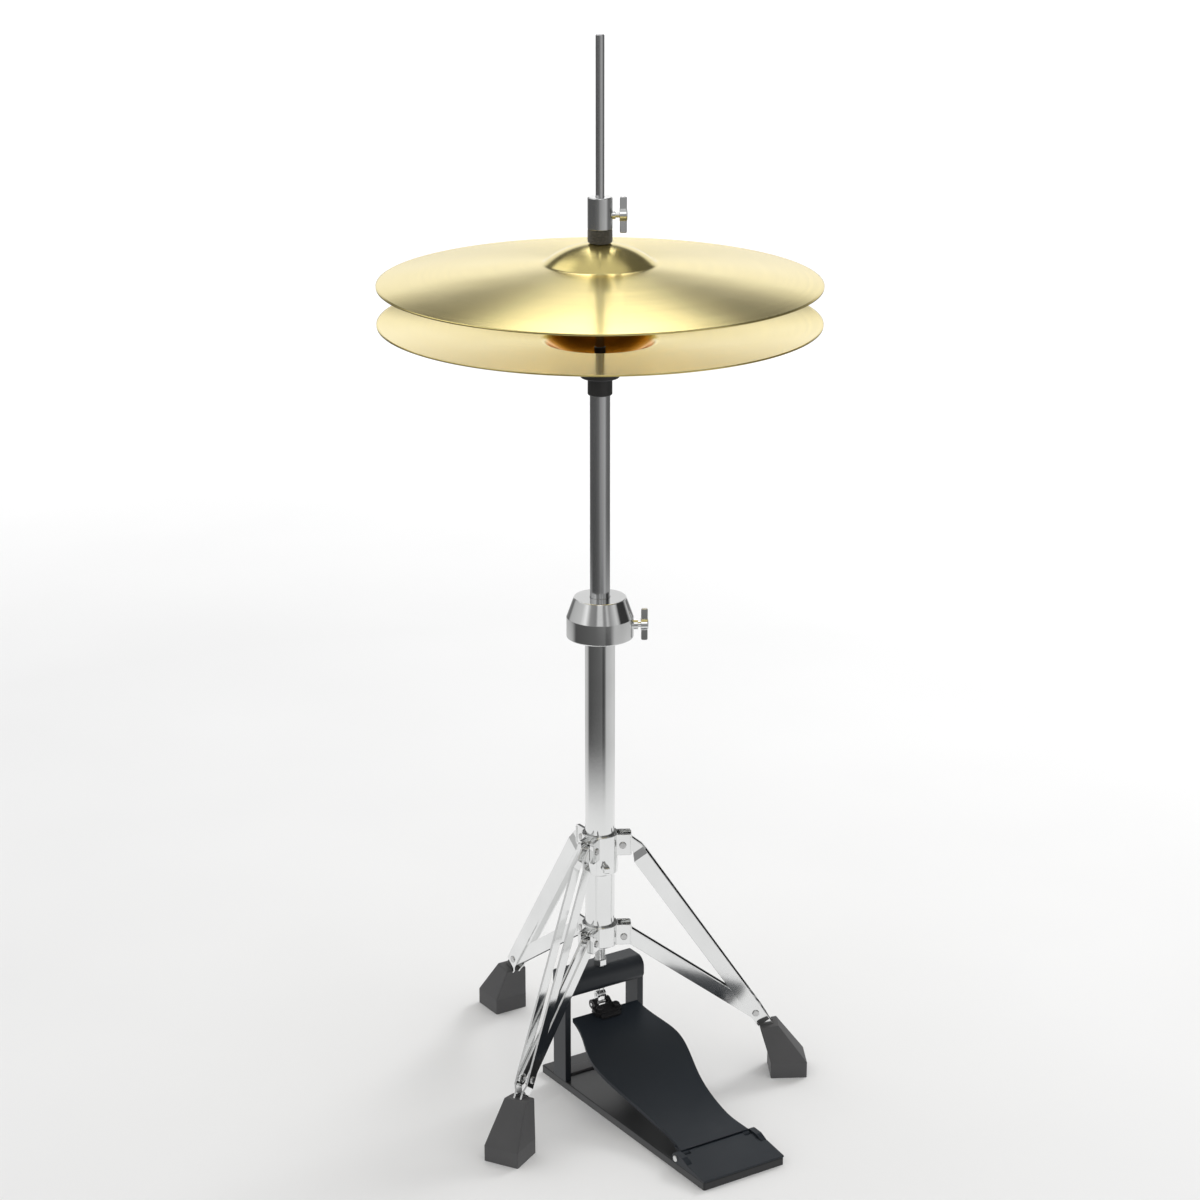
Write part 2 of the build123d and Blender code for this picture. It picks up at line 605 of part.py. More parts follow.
def chain_plates(levels, x_in, x_out):
    plates = []
    for level in levels:
        z_low = CHAIN_BOTTOM + level * CHAIN_PITCH
        plates.append(link_plate(-x_out, -x_in, z_low, CHAIN_PIN_R + FIT))
        plates.append(link_plate(x_in, x_out, z_low, CHAIN_PIN_R + FIT))
    return Compound(children=plates)


def chain_rollers():
    rollers = []
    for level in (1, 2):
        z = CHAIN_BOTTOM + level * CHAIN_PITCH
        rollers.append(rod_x(2.7, -1.45, 1.45, z=z) - rod_x(CHAIN_PIN_R + FIT, -2, 2, z=z))
    return Compound(children=rollers)


def chain_pins():
    """Pins of the chain, the lowest long enough to reach through the toe clamp's cheeks."""
    pins = []
    for level in range(4):
        half = 9.0 if level == 0 else 4.7
        pins.append(rod_x(CHAIN_PIN_R, -half, half, z=CHAIN_BOTTOM + level * CHAIN_PITCH))
    return Compound(children=pins)


# ---- Inside the lower tube ----
def spring_seat():
    return ring(LOWER_TUBE_R - LOWER_TUBE_WALL - FIT, PULL_ROD_R + GAP, 131.2, SPRING_Z[0] - 0.1)


def guide_bush():
    """Pressed ring that guides the pull rod and stops its cup at the top of its travel."""
    return ring(LOWER_TUBE_R - LOWER_TUBE_WALL - FIT, PULL_ROD_R + FIT, SPRING_Z[1] + 5.3, SPRING_Z[1] + 11.3)


def return_spring():
    """Round wire wound up the pull rod, one turn after another."""
    wire = 0.8
    mean = 6.5
    low = SPRING_Z[0] + wire + 0.05
    pitch = (SPRING_Z[1] - SPRING_Z[0] - 2 * wire - 0.1) / SPRING_TURNS
    coil = Part()
    for turn in range(SPRING_TURNS):
        path = Pos(0, 0, low + turn * pitch) * Helix(pitch=pitch, height=pitch, radius=mean)
        section = Plane(origin=path @ 0, z_dir=path % 0) * Circle(wire)
        coil += sweep(section, path=path)
    return coil


# ---- Write one file per sub-part ----
def build():
    nodes = {
        "base_plate": base_plate(),
        "pedal_frame": pedal_frame(),
        "frame_screws": screws(POST_SCREWS, POST_SCREW_TOP),
        "toe_bumper": toe_bumper(),
        "heel_plate": heel_plate(),
        "heel_plate_screws": screws(HEEL_SCREWS, HEEL_SCREW_TOP),
        "heel_pin": heel_pin(),
        "footboard": footboard(),
        "toe_clamp": toe_clamp(),
        "toe_clamp_bolts": toe_bolts(),
        "chain_outer_plates": chain_plates((0, 2), 3.1, 4.3),
        "chain_inner_plates": chain_plates((1,), 1.6, 2.7),
        "chain_rollers": chain_rollers(),
        "chain_pins": chain_pins(),
        "pull_rod": pull_rod(),
        "rod_coupler": rod_coupler(),
        "center_rod": center_rod(),
        "return_spring": return_spring(),
        "spring_seat": spring_seat(),
        "guide_bush": guide_bush(),
        "connector_stem": connector_stem(),
        "connector_nuts": connector_nuts(),
        "lower_hub": lower_hub(),
        "lower_tube": lower_tube(),
        "height_clamp": height_clamp(),
        "clamp_bush": clamp_bush(),
        "clamp_wing_screw": wing_screw((33.6, 39.7), 11.4, CLAMP_SCREW_Z, 27.4, CLAMP_SCREW_R),
        "upper_tube": ring(UPPER_TUBE_R, UPPER_TUBE_R - UPPER_TUBE_WALL, *UPPER_TUBE_Z),
        "seat_holder": seat_holder(),
        "seat_sleeve": seat_sleeve(),
        "seat_felt": felt(SEAT_FELT_R, SLEEVE_R + GAP, *SEAT_FELT_Z),
        "bottom_cymbal": cymbal(LOW_RIM_Z, LOW_BELL_Z, LOW_CROWN_Z),
        "top_cymbal": cymbal(TOP_RIM_Z, TOP_BELL_Z, TOP_CROWN_Z),
        "clutch_body": clutch_body(),
        "clutch_stem": clutch_stem(),
        "clutch_upper_felt": felt(FELT_R, STEM_R + GAP, *UPPER_FELT_Z),
        "clutch_lower_felt": felt(FELT_R, STEM_R + GAP, *LOWER_FELT_Z),
        "clutch_nut": clutch_nut(),
        "clutch_wing_screw": wing_screw((15.3, 21.5), ROD_R + 0.1, CLUTCH_SCREW_Z, 29.0, CLUTCH_SCREW_R),
        "upper_hub": upper_hub(),
        "hub_key_screw": key_screw(),
        "leg_rivets": pivot_rivets(LEG_PIVOT),
        "strut_rivets": pivot_rivets(STRUT_PIVOT),
    }
    for name, azimuth in LEG_AZIMUTHS.items():
        nodes["leg_" + name] = at_leg(leg_strips(), azimuth)
        nodes["strut_" + name] = at_leg(strut_strips(), azimuth)
        nodes["foot_rivet_" + name] = around(foot_rivet(), azimuth)
        nodes["rubber_foot_" + name] = around(rubber_foot(), azimuth)
    return nodes


os.makedirs("parts", exist_ok=True)
for node, shape in build().items():
    export_step(shape, f"parts/{node}.step")
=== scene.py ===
import math
import bmesh
import bpy
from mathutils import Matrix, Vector, noise


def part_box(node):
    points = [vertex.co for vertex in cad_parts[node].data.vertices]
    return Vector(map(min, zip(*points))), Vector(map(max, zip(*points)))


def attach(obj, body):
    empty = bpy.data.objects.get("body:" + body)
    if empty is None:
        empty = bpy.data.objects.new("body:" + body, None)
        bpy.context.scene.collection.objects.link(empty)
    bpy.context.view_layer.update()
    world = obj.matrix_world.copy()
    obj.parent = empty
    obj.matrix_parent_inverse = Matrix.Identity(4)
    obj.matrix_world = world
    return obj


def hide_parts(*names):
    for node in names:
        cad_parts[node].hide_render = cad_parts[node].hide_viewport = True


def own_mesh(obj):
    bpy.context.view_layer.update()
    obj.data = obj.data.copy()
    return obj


# A hi-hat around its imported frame: camera, studio, materials, then the pieces that need finer meshes.
# Sizes of those pieces are in mm, and MM turns them into the frame's metres.

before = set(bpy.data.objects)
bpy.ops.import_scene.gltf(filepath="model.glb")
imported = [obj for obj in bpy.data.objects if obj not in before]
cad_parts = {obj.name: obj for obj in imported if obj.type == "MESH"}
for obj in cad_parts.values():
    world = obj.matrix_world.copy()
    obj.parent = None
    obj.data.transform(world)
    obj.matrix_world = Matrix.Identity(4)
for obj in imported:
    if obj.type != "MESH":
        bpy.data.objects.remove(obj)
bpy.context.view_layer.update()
MM = 0.001

# ---- Camera ----
FRONT = math.radians(-33)    # turn of the side that the camera looks at and the studio is set up for
CAMERA_PITCH = math.radians(18.49)
CAMERA_DISTANCE = 2.340
CAMERA_HEIGHT = 1.216
CAMERA_LENS = 90.1


def add_camera():
    data = bpy.data.cameras.new("camera")
    data.lens = CAMERA_LENS
    data.sensor_width = 36
    camera = bpy.data.objects.new("camera", data)
    camera.location = (math.sin(FRONT) * CAMERA_DISTANCE, -math.cos(FRONT) * CAMERA_DISTANCE, CAMERA_HEIGHT)
    camera.rotation_euler = (math.pi / 2 - CAMERA_PITCH, 0, FRONT)
    bpy.context.scene.collection.objects.link(camera)
    bpy.context.scene.camera = camera
    bpy.context.scene.view_settings.view_transform = "Standard"


# ---- Node helpers ----
class Nodes:
    """Short calls for the shader nodes that are used here, in any node tree."""

    def __init__(self, tree):
        self.tree = tree

    def node(self, kind, links=(), **values):
        made = self.tree.nodes.new("ShaderNode" + kind)
        for key, value in values.items():
            setattr(made, key, value)
        for socket, source in dict(links).items():
            self.plug(made.inputs[socket], source)
        return made

    def plug(self, socket, source):
        if isinstance(source, bpy.types.NodeSocket):
            self.tree.links.new(source, socket)
        else:
            socket.default_value = source

    def ramp(self, source, *stops):
        made = self.node("ValToRGB", {"Fac": source})
        elements = made.color_ramp.elements
        while len(elements) < len(stops):
            elements.new(0.5)
        for element, (place, value) in zip(elements, stops):
            element.position = place
            element.color = (*value, 1) if isinstance(value, tuple) else (value, value, value, 1)
        return made.outputs["Color"]

    def spread(self, source, low, high):
        """Takes 0 to 1 to the range from low to high."""
        return self.node("MapRange", {"Value": source, "To Min": low, "To Max": high}).outputs["Result"]

    def rise(self, source, start, end):
        """0 up to start, 1 from end on, and even steps between."""
        return self.node("MapRange", {"Value": source, "From Min": start, "From Max": end}).outputs["Result"]

    def mixed(self, factor, first, second, blend="MIX"):
        made = self.node("Mix", data_type="RGBA", blend_type=blend)
        self.plug(made.inputs["Factor"], factor)
        self.plug(made.inputs["A"], first)
        self.plug(made.inputs["B"], second)
        return made.outputs["Result"]

    def angle(self, split):
        """Angle round Z of a split vector, from minus pi to pi."""
        return self.node("Math", {0: split["Y"], 1: split["X"]}, operation="ARCTAN2").outputs["Value"]

    def length(self, vector):
        return self.node("VectorMath", {0: vector}, operation="LENGTH").outputs["Value"]


class Shader(Nodes):
    """A new material, with its Principled shader as main."""

    def __init__(self, name):
        self.material = bpy.data.materials.new(name)
        self.material.use_nodes = True
        super().__init__(self.material.node_tree)
        self.main = self.tree.nodes["Principled BSDF"]
        self.coords = self.tree.nodes.new("ShaderNodeTexCoord").outputs["Object"]

    def set(self, **values):
        for key, value in values.items():
            self.plug(self.main.inputs[key.replace("_", " ")], value)

    def noise(self, scale, detail=3.0, stretch=(1, 1, 1), rough=0.5):
        stretched = self.node("Mapping", {"Vector": self.coords, "Scale": stretch}).outputs["Vector"]
        return self.noise_at(stretched, scale, detail, rough)

    def noise_at(self, place, scale, detail, rough):
        sockets = {"Vector": place, "Scale": scale, "Detail": detail, "Roughness": rough}
        return self.node("TexNoise", sockets).outputs["Fac"]

    def soft_edges(self, radius):
        """Normal that turns over sharp edges as if they had a small radius."""
        return self.node("Bevel", {"Radius": radius}, samples=4).outputs["Normal"]

    def bump(self, height, distance, strength=1.0, normal=None):
        links = {"Height": height, "Distance": distance, "Strength": strength}
        if normal is not None:
            links["Normal"] = normal
        return self.node("Bump", links).outputs["Normal"]


# ---- Materials ----
def chrome():
    """Bright plating with faint smudges and a very slight waviness."""
    s = Shader("chrome_plate")
    smudge = s.noise(18, 4)
    fine = s.noise(240, 2)
    s.set(Base_Color=s.ramp(smudge, (0.3, (0.74, 0.745, 0.74)), (0.7, (0.83, 0.835, 0.83))),
          Metallic=1.0, Roughness=s.spread(smudge, 0.07, 0.13),
          Normal=s.bump(fine, 0.00002, 0.25, s.soft_edges(0.0004)))
    return s.material


def drawn_steel():
    """Tube and rod steel: fine draw lines along the length, a little duller than the chrome."""
    s = Shader("drawn_steel")
    lines = s.noise(900, 2, (1, 1, 0.012))
    patches = s.noise(9, 3, (1, 1, 0.35))
    s.set(Base_Color=s.ramp(patches, (0.3, (0.62, 0.625, 0.63)), (0.7, (0.74, 0.74, 0.745))),
          Metallic=1.0, Roughness=s.spread(patches, 0.13, 0.24),
          Normal=s.bump(lines, 0.00003, 0.3))
    return s.material


def turned_steel():
    """Screws, pins and nuts: turned steel with faint oil marks."""
    s = Shader("turned_steel")
    oil = s.noise(60, 4)
    s.set(Base_Color=s.ramp(oil, (0.3, (0.5, 0.5, 0.5)), (0.7, (0.66, 0.66, 0.65))),
          Metallic=1.0, Roughness=s.spread(oil, 0.2, 0.36),
          Normal=s.bump(s.noise(1500, 2), 0.00002, 0.3))
    return s.material


def cymbal_bronze(name, bell):
    """Lathed bronze: fine grooves cut round the axis, reflections brushed across them, soft tarnish. Inside the
    bell's edge the colour gives way to bell, which on the bottom cymbal is a painted warm reflection in the
    shaded hollow.
    """
    groove_drift = 0.0012        # how far a groove wanders for each radian
    bell_tone_and_painted_glow_edge = (0.0445, 0.041)  # radii between which the plate's colour gives way to the bell's; on the bottom cymbal that is a painted warm reflection
    s = Shader(name)
    split = s.node("SeparateXYZ", {"Vector": s.coords}).outputs
    radius = s.length(s.node("CombineXYZ", {"X": split["X"], "Y": split["Y"]}).outputs["Vector"])
    drift = s.node("Math", {0: s.angle(split), 1: groove_drift}, operation="MULTIPLY").outputs["Value"]
    groove = s.node("CombineXYZ", {"X": radius, "Y": drift}).outputs["Vector"]
    cuts = s.noise_at(groove, 1100.0, 4.0, 0.7)
    bands = s.noise_at(groove, 330.0, 3.0, 0.6)
    tarnish = s.noise(9, 5, (1, 1, 2))
    plate = s.ramp(tarnish, (0.25, (0.90, 0.75, 0.30)), (0.75, (0.93, 0.785, 0.35)))
    shade = s.ramp(bands, (0.35, (0.86, 0.84, 0.80)), (0.65, (1.0, 1.0, 1.0)))
    # Towards the middle the colour turns to the bell's: the same bronze on the top cymbal, a painted orange
    # reflection on the bottom one.
    colour = s.mixed(s.rise(radius, *bell_tone_and_painted_glow_edge), plate, bell)
    across_grooves = s.node("Tangent", direction_type="RADIAL", axis="Z").outputs["Tangent"]
    s.set(Base_Color=s.mixed(0.3, colour, shade, "MULTIPLY"), Metallic=1.0,
          Roughness=s.spread(bands, 0.20, 0.24),
          Anisotropic=0.85, Anisotropic_Rotation=0.25, Tangent=across_grooves)
    s.set(Normal=s.bump(cuts, 0.00004, 0.2, s.bump(bands, 0.00005, 0.1)))
    return s.material


def powder_coat(name, low, high, rough, grain):
    """Black coat between two cloudy shades, with a fine grain of the given scale."""
    s = Shader(name)
    cloud = s.noise(11, 4)
    s.set(Base_Color=s.ramp(cloud, (0.3, low), (0.7, high)), Metallic=0.0,
          Roughness=s.spread(s.noise(45, 3), rough - 0.06, rough + 0.06), Specular_IOR_Level=0.38,
          Normal=s.bump(s.noise(grain, 3), 0.00006, 0.35, s.soft_edges(0.0006)))
    return s.material


def nylon():
    s = Shader("black_nylon")
    s.set(Base_Color=s.ramp(s.noise(30, 3), (0.3, (0.014, 0.014, 0.014)), (0.7, (0.024, 0.024, 0.025))),
          Roughness=s.spread(s.noise(80, 3), 0.36, 0.5), Normal=s.bump(s.noise(900, 2), 0.00004, 0.3))
    return s.material


def felt():
    """Pressed felt: tangled fibres at two sizes, with a soft sheen."""
    s = Shader("pressed_felt")
    tangle = s.noise(420, 6, (1, 1, 2.5), 0.75)
    tufts = s.noise(1600, 4)
    s.set(Base_Color=s.ramp(tangle, (0.35, (0.03, 0.028, 0.022)), (0.7, (0.11, 0.10, 0.08))),
          Roughness=0.95, Sheen_Weight=0.35, Sheen_Roughness=0.5)
    s.set(Normal=s.bump(tufts, 0.0003, 0.6, s.bump(tangle, 0.0006, 0.7)))
    return s.material


def rubber():
    """Moulded rubber with a dusty bloom and a pebbled skin."""
    s = Shader("moulded_rubber")
    dust = s.noise(14, 5)
    s.set(Base_Color=s.ramp(dust, (0.3, (0.062, 0.062, 0.064)), (0.75, (0.088, 0.087, 0.088))),
          Roughness=s.spread(dust, 0.58, 0.74),
          Normal=s.bump(s.noise(700, 4), 0.00012, 0.45, s.soft_edges(0.0008)))
    return s.material


# ---- Studio ----
# What shines reflects a floor that is lit round the object and darker further out, and a sky of light panels
# with gaps between them. Each ramp goes once round the object: 0.5 is its front, 0.75 is to the right of
# someone who faces it, and 0 and 1 are behind it.
FLOOR_REACH = 14.0
FLOOR_MIDDLE = (0.6, 0.8)    # distances between which the bright floor gives way to the middle ring,
FLOOR_FAR = (1.15, 1.5)      # that ring gives way to the far floor,
FLOOR_GLOW = (1.2, 3.4)      # and the floor's own glow comes up to GLOW
GLOW = 0.42
NEAR_GREY, ZENITH_GREY = 0.92, 0.6   # what shines sees of the bright floor, and straight overhead
SOFT_GREY = 0.76             # light of the surroundings on what doesn't shine
SKY_MIDDLE = (0.29, 0.38)    # sines of the elevations between which one band of the sky gives way to the next
SKY_HIGH = (0.50, 0.56)
SKY_TOP = (0.80, 0.90)


def turn_fraction(nodes, vector):
    """0 to 1 once round the object, for a direction or a place."""
    turned = nodes.node("VectorRotate", {"Vector": vector, "Angle": math.pi / 2 - FRONT},
                        rotation_type="Z_AXIS").outputs["Vector"]
    angle = nodes.angle(nodes.node("SeparateXYZ", {"Vector": turned}).outputs)
    return nodes.rise(angle, -math.pi, math.pi)


def grey(value):
    return value, value, value, 1


def add_floor():
    """Pale floor, even to the eye. What shines gets its light back weaker from outside the bright middle."""
    s = Shader("floor_paint")
    s.set(Base_Color=s.ramp(s.noise(3, 2), (0.3, 0.83), (0.7, 0.85)), Roughness=0.85, Specular_IOR_Level=0.2)
    place = s.node("NewGeometry").outputs["Position"]
    distance = s.length(place)
    around = turn_fraction(s, place)
    middle = s.ramp(around, (0.0, 0.62), (0.16, 0.60), (0.20, 0.50), (0.25, 0.08), (0.5, 0.13), (0.545, 0.15),
                    (0.56, 0.05), (0.60, 0.10), (0.64, 0.55), (0.8, 0.70), (1.0, 0.62))
    far = s.ramp(around, (0.0, 1.0), (0.035, 1.0), (0.07, 0.25), (0.16, 0.10), (0.36, 0.10), (0.46, 0.16),
                 (0.5, 0.3), (0.57, 0.40), (0.66, 0.48), (0.72, 0.16), (0.84, 0.14), (0.93, 0.25),
                 (0.965, 1.0), (1.0, 1.0))
    outside = s.mixed(s.rise(distance, *FLOOR_FAR), middle, far)
    shown = s.mixed(s.rise(distance, *FLOOR_MIDDLE), grey(NEAR_GREY), outside)
    glow = s.node("Emission", {"Color": shown}).outputs["Emission"]
    s.set(Emission_Color=grey(1), Emission_Strength=s.spread(s.rise(distance, *FLOOR_GLOW), 0.0, GLOW))
    shiny = s.node("LightPath").outputs["Is Glossy Ray"]
    surface = s.node("MixShader", {0: shiny, 1: s.main.outputs["BSDF"], 2: glow}).outputs["Shader"]
    s.plug(s.tree.nodes["Material Output"].inputs["Surface"], surface)
    mesh = bpy.data.meshes.new("floor")
    corners = [(x * FLOOR_REACH, y * FLOOR_REACH, 0) for x, y in ((-1, -1), (1, -1), (1, 1), (-1, 1))]
    mesh.from_pydata(corners, [], [(0, 1, 2, 3)])
    mesh.materials.append(s.material)
    floor = bpy.data.objects.new("floor", mesh)
    bpy.context.scene.collection.objects.link(floor)


def add_world():
    """White to the eye. What shines sees light panels behind, to the left and in front, and darker gaps."""
    world = bpy.data.worlds.new("studio")
    world.use_nodes = True
    bpy.context.scene.world = world
    s = Nodes(world.node_tree)
    direction = s.node("TexCoord").outputs["Generated"]
    around = turn_fraction(s, direction)
    height = s.node("SeparateXYZ", {"Vector": direction}).outputs["Z"]
    low = s.ramp(around, (0.0, 1.1), (0.06, 0.9), (0.10, 0.35), (0.13, 0.25), (0.17, 0.5), (0.30, 0.6),
                 (0.355, 1.0), (0.40, 0.35), (0.5, 0.25), (0.555, 0.4), (0.574, 1.0), (0.60, 0.4),
                 (0.67, 0.7), (0.69, 0.5), (0.71, 0.04), (0.81, 0.04), (0.85, 0.6), (0.92, 0.9), (1.0, 1.1))
    middle = s.ramp(around, (0.0, 0.10), (0.09, 0.12), (0.16, 0.5), (0.3, 0.6), (0.4, 0.2), (0.46, 0.2),
                    (0.48, 0.9), (0.52, 0.9), (0.54, 0.2), (0.7, 0.10), (1.0, 0.10))
    high = s.ramp(around, (0.0, 3.4), (0.02, 3.2), (0.036, 0.12), (0.075, 0.14), (0.1, 1.2), (0.3, 0.9),
                  (0.4, 0.15), (0.45, 0.2), (0.47, 1.6), (0.53, 1.6), (0.55, 0.2), (0.7, 0.12), (0.964, 0.12),
                  (0.98, 3.2), (1.0, 3.4))
    sky = s.mixed(s.rise(height, *SKY_MIDDLE), low, middle)
    sky = s.mixed(s.rise(height, *SKY_HIGH), sky, high)
    sky = s.mixed(s.rise(height, *SKY_TOP), sky, grey(ZENITH_GREY))
    rays = s.node("LightPath").outputs
    lit = s.mixed(rays["Is Glossy Ray"], grey(SOFT_GREY), sky)
    background = s.tree.nodes["Background"]
    s.plug(background.inputs["Color"], s.mixed(rays["Is Camera Ray"], lit, grey(1)))
    s.plug(background.inputs["Strength"], 1.0)


def add_lamp(name, place, target, size, watts):
    data = bpy.data.lights.new(name, "AREA")
    data.shape = "RECTANGLE"
    data.size, data.size_y = size
    data.energy = watts
    lamp = bpy.data.objects.new(name, data)
    lamp.location = place
    lamp.rotation_euler = (Vector(target) - Vector(place)).to_track_quat("-Z", "Y").to_euler()
    lamp.visible_glossy = False
    bpy.context.scene.collection.objects.link(lamp)


def add_lamps():
    """Soft light from above, a key from the right for the shadows, and a fill from behind."""
    target = (0, 0, 0.3)
    add_lamp("lamp_top", (0.5, 0.5, 3.0), target, (2.2, 2.2), 14)
    add_lamp("lamp_right", (2.3, 0.5, 1.9), target, (0.9, 0.9), 24)
    add_lamp("lamp_back", (-0.6, 2.8, 1.6), target, (3.0, 1.4), 5)


# ---- Give each CAD node its material ----
def dress():
    """Each material with its nodes. A name that ends in _ stands for all the nodes that start with it."""
    board = powder_coat("blue_black_coat", (0.006, 0.010, 0.016), (0.011, 0.016, 0.023), 0.50, 1100)
    paint = powder_coat("frame_coat", (0.015, 0.018, 0.022), (0.022, 0.026, 0.031), 0.40, 1100)
    plate = powder_coat("base_plate_coat", (0.010, 0.011, 0.012), (0.017, 0.018, 0.019), 0.36, 900)
    black = powder_coat("blackened_steel", (0.012, 0.012, 0.013), (0.022, 0.022, 0.023), 0.38, 1400)
    finishes = {
        chrome(): ["height_clamp", "lower_tube", "upper_hub", "lower_hub", "hub_key_screw",
                   "clamp_wing_screw", "clutch_wing_screw", "clutch_body", "clutch_nut",
                   "chain_outer_plates", "chain_inner_plates", "connector_nuts", "connector_stem",
                   "leg_", "strut_"],
        drawn_steel(): ["center_rod", "upper_tube", "pull_rod", "rod_coupler"],
        turned_steel(): ["frame_screws", "heel_plate_screws", "heel_pin", "chain_rollers", "chain_pins",
                         "clutch_stem", "return_spring", "spring_seat", "leg_rivets", "strut_rivets",
                         "foot_rivet_"],
        cymbal_bronze("bronze_top", (0.90, 0.75, 0.30, 1)): ["top_cymbal"],
        # The bottom cymbal's orange bell colour is a painted warm reflection from between the cymbals, not the
        # bronze's own colour.
        cymbal_bronze("bronze_bottom_painted_bell_glow", (0.96, 0.47, 0.09, 1)): ["bottom_cymbal"],
        board: ["footboard", "heel_plate"],
        paint: ["pedal_frame"],
        plate: ["base_plate"],
        black: ["toe_clamp", "toe_clamp_bolts"],
        nylon(): ["seat_holder", "seat_sleeve", "guide_bush", "clamp_bush"],
        felt(): ["seat_felt", "clutch_upper_felt", "clutch_lower_felt"],
        rubber(): ["rubber_foot_", "toe_bumper"],
    }
    chosen = {}
    for material, names in finishes.items():
        families = tuple(name for name in names if name.endswith("_"))
        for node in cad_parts:
            if node in names or (node.startswith(families) and not node.endswith("_rivets")):
                chosen[node] = material
    for node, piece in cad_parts.items():
        piece.data.materials.clear()
        piece.data.materials.append(chosen[node])
    return chosen


# ---- Pieces with a finer mesh than the CAD nodes that they stand for ----
CYMBAL_STEPS, FELT_STEPS, THREAD_STEPS = 288, 160, 48    # columns of each mesh round its axis


def add_piece(name, bm, body, slot, material, *nodes):
    for face in bm.faces:
        face.smooth = True
    bmesh.ops.recalc_face_normals(bm, faces=bm.faces)
    mesh = bpy.data.meshes.new(name)
    bm.to_mesh(mesh)
    bm.free()
    mesh.materials.append(material)
    piece = bpy.data.objects.new(name, mesh)
    bpy.context.scene.collection.objects.link(piece)
    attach(piece, body)
    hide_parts(*nodes)
    return piece


def on_circle(radius, angle, height):
    return Vector((radius * math.cos(angle), radius * math.sin(angle), height)) * MM


def skin(bm, pairs):
    """Faces between each pair of closed rings of vertices."""
    for here, after in pairs:
        for j in range(len(here)):
            k = (j + 1) % len(here)
            bm.faces.new((here[j], after[j], after[k], here[k]))


def lathe(profile, steps, push=lambda point: point):
    """Closed ring of revolution. profile(angle) gives (radius, height) points, and push moves each vertex."""
    bm = bmesh.new()
    rings = []
    for step in range(steps):
        angle = 2 * math.pi * step / steps
        points = [on_circle(radius, angle, height) for radius, height in profile(angle)]
        rings.append([bm.verts.new(push(point)) for point in points])
    skin(bm, zip(rings, rings[1:] + rings[:1]))
    return bm


def between(start, end, parts):
    """The points inside a straight run that is cut into equal parts."""
    return [tuple(a + (b - a) * i / parts for a, b in zip(start, end)) for i in range(1, parts)]


def quarter(centre, radius, start, parts=8):
    """Points on a quarter circle that goes clockwise from the angle start, with both its ends."""
    angles = [start - math.pi / 2 * i / parts for i in range(parts + 1)]
    return [(centre[0] + radius * math.cos(angle), centre[1] + radius * math.sin(angle)) for angle in angles]


def arc_through(a, b, c, steps):
    """Points on the circle through a, b and c, from a up to but not including c."""
    (ax, ay), (bx, by), (cx, cy) = a, b, c
    d = 2 * (ax * (by - cy) + bx * (cy - ay) + cx * (ay - by))
    sa, sb, sc = ax * ax + ay * ay, bx * bx + by * by, cx * cx + cy * cy
    ux = (sa * (by - cy) + sb * (cy - ay) + sc * (ay - by)) / d
    uy = (sa * (cx - bx) + sb * (ax - cx) + sc * (bx - ax)) / d
    start, end = math.atan2(ay - uy, ax - ux), math.atan2(cy - uy, cx - ux)
    turn = (end - start + math.pi) % (2 * math.pi) - math.pi
    radius = math.dist(a, (ux, uy))
    angles = [start + turn * i / steps for i in range(steps)]
    return [(ux + radius * math.cos(angle), uy + radius * math.sin(angle)) for angle in angles]


# -- Cymbals --
CYMBAL_R, CYMBAL_T, CYMBAL_HOLE, BELL_R = 177.8, 1.2, 5.6, 45.0
BOW_RISE, BOW_SAG = 15.7, 2.0
BELL_RISE, BELL_FULLNESS = 16.0, 0.69
TOP_RIM_Z, LOW_RIM_Z = 699.3, 667.2
HAMMER_DEPTH, HAMMER_RIM = 0.06, 20.0     # the dents fade out over this width at the rim
HAMMER_SCALE = 34                         # of the noise, for each metre
TOP_SEED, LOW_SEED = 3.1, 8.4


def cymbal_face():
    """The outer face from rim to hole, with the corner at the bell rounded. Heights are from the rim."""
    corner, bow_parts, bell_parts = 3.0, 90, 44
    rim, bell, crown = (CYMBAL_R, 0), (BELL_R, BOW_RISE), (CYMBAL_HOLE, BOW_RISE + BELL_RISE)
    bow_mid = ((CYMBAL_R + BELL_R) / 2, BOW_RISE / 2 + BOW_SAG)
    bell_mid = (BELL_R * 0.6, BOW_RISE + BELL_RISE * BELL_FULLNESS)
    line = arc_through(rim, bow_mid, bell, bow_parts) + arc_through(bell, bell_mid, crown, bell_parts) + [crown]
    for _ in range(2):
        smooth = list(line)
        for i in range(1, len(line) - 1):
            if abs(line[i][0] - BELL_R) < corner:
                smooth[i] = tuple((line[i - 1][k] + 2 * line[i][k] + line[i + 1][k]) / 4 for k in (0, 1))
        line = smooth
    return line


def add_cymbal(node, rim_z, side, seed, material):
    """A bowed plate with a bell, very slightly uneven from hammering. side is 1 bell up, -1 bell down."""
    face = cymbal_face()
    under = [(radius, height - CYMBAL_T) for radius, height in reversed(face)]
    edge = [(CYMBAL_R, -depth) for depth in (0.85, 0.6, 0.35)]
    profile = [(radius, rim_z + side * height) for radius, height in face + under + edge]

    def hammered(point):
        dent = noise.noise(Vector((point.x * HAMMER_SCALE, point.y * HAMMER_SCALE, seed)))
        fade = min(1, (CYMBAL_R * MM - math.hypot(point.x, point.y)) / (HAMMER_RIM * MM))
        return point + Vector((0, 0, dent * HAMMER_DEPTH * MM * fade))

    bm = lathe(lambda angle: profile, CYMBAL_STEPS, hammered)
    return add_piece(node + "_lathed", bm, node, "cymbal_bronze", material, node)


# -- Felts --
FIBRE_DEPTH, FIBRE_SCALE = 0.22, 900
FELTS = [("seat_felt", "mast", 4.8), ("clutch_upper_felt", "clutch", 5.2), ("clutch_lower_felt", "clutch", 5.2)]


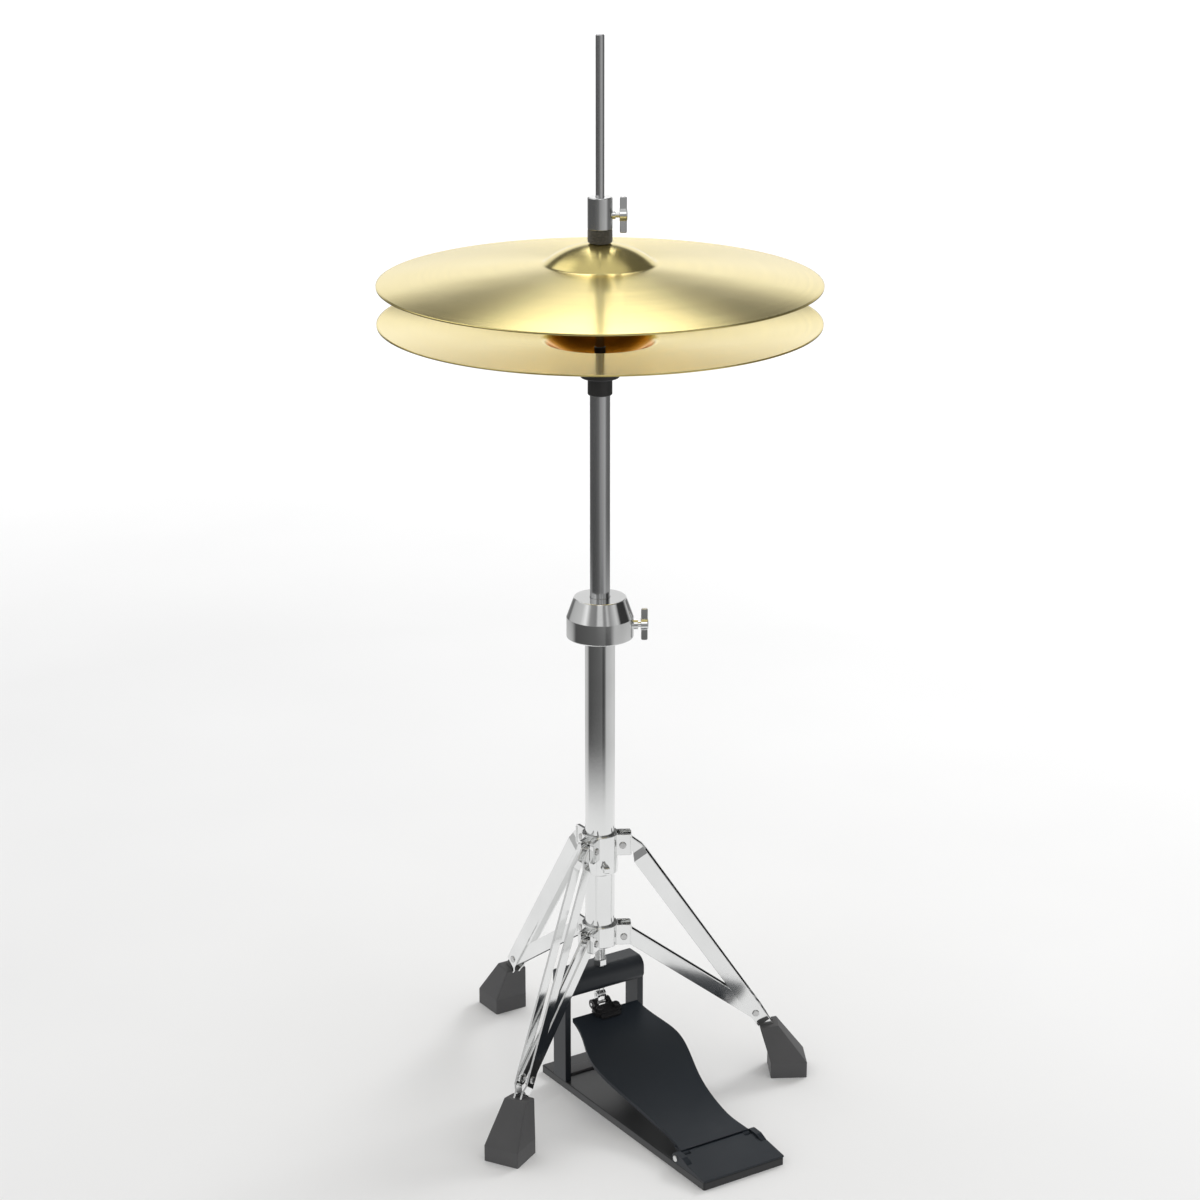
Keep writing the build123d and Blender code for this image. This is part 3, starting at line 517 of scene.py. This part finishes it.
def add_felt(node, body, inner, seed, material):
    """A pressed felt washer: full sides, soft rims and a surface of loose fibre."""
    low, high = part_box(node)
    outer = (high.x - low.x) / 2 / MM
    z0, z1 = low.z / MM, high.z / MM
    soft = min(1.6, (z1 - z0) / 3)
    flat = outer - soft
    profile = quarter((flat, z1 - soft), soft, math.pi / 2)
    profile += between((outer, z1 - soft), (outer, z0 + soft), 14)
    profile += quarter((flat, z0 + soft), soft, 0)
    profile += between((flat, z0), (inner, z0), 8) + [(inner, z0), (inner, z1)]
    profile += between((inner, z1), (flat, z1), 8)

    def fluffed(point):
        """Draws the outer side in unevenly."""
        if math.hypot(point.x, point.y) / MM < outer - 0.5:
            return point
        at = point * FIBRE_SCALE
        fibre = noise.noise(at + Vector((seed, 0, 0))) * 0.5 + noise.noise(at * 2.3) * 0.3
        return point + Vector((point.x, point.y, 0)).normalized() * (fibre - 0.45) * FIBRE_DEPTH * MM

    bm = lathe(lambda angle: profile, FELT_STEPS, fluffed)
    return add_piece(node + "_fibre", bm, body, "felt", material, node)


# -- Thread and spring --
THREAD_R, THREAD_BORE, THREAD_PITCH, THREAD_DEPTH = 4.5, 3.3, 1.25, 0.35
SPRING_R, SPRING_WIRE, SPRING_TURNS = 6.5, 0.8, 11


def add_thread(material):
    """The connector's thread: a rolled helix that fades out at both ends."""
    low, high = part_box("connector_stem")
    z0, z1 = low.z / MM, high.z / MM
    root = THREAD_R - THREAD_DEPTH
    rows = int((z1 - z0) / THREAD_PITCH * 10)

    def column(angle):
        points = [(THREAD_BORE, z0), (root, z0)]
        for row in range(1, rows):
            z = z0 + (z1 - z0) * row / rows
            crest = 0.5 + 0.5 * math.cos(2 * math.pi * z / THREAD_PITCH - angle)
            fade = min(1, z - z0, z1 - z)
            points.append((THREAD_R - THREAD_DEPTH * (1 - crest ** 0.7 * fade), z))
        return points + [(root, z1), (THREAD_BORE, z1)]

    bm = lathe(column, THREAD_STEPS)
    return add_piece("connector_thread", bm, "stand", "chrome", material, "connector_stem")


def add_spring(material):
    """The return spring: round wire in a helix."""
    low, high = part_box("return_spring")
    per_turn, sides = 28, 10
    steps = SPRING_TURNS * per_turn
    z0, z1 = low.z / MM + SPRING_WIRE, high.z / MM - SPRING_WIRE
    section = [(math.cos(lean) * SPRING_WIRE, math.sin(lean) * SPRING_WIRE)
               for lean in (2 * math.pi * side / sides for side in range(sides))]
    bm = bmesh.new()
    rings = []
    for step in range(steps + 1):
        angle = 2 * math.pi * step / per_turn
        height = z0 + (z1 - z0) * step / steps
        rings.append([bm.verts.new(on_circle(SPRING_R + out, angle, height + up)) for out, up in section])
    skin(bm, zip(rings, rings[1:]))
    bm.faces.new(rings[0])
    bm.faces.new(rings[-1][::-1])
    coil = add_piece("return_spring_coil", bm, "stand", "steel", material, "return_spring")
    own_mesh(coil)
    return coil


add_camera()
add_floor()
add_world()
add_lamps()
looks = dress()
add_cymbal("top_cymbal", TOP_RIM_Z, 1, TOP_SEED, looks["top_cymbal"])
add_cymbal("bottom_cymbal", LOW_RIM_Z, -1, LOW_SEED, looks["bottom_cymbal"])
for index, (node, body, inner) in enumerate(FELTS):
    add_felt(node, body, inner, index * 5.0, looks[node])
add_thread(looks["connector_stem"])
add_spring(looks["return_spring"])
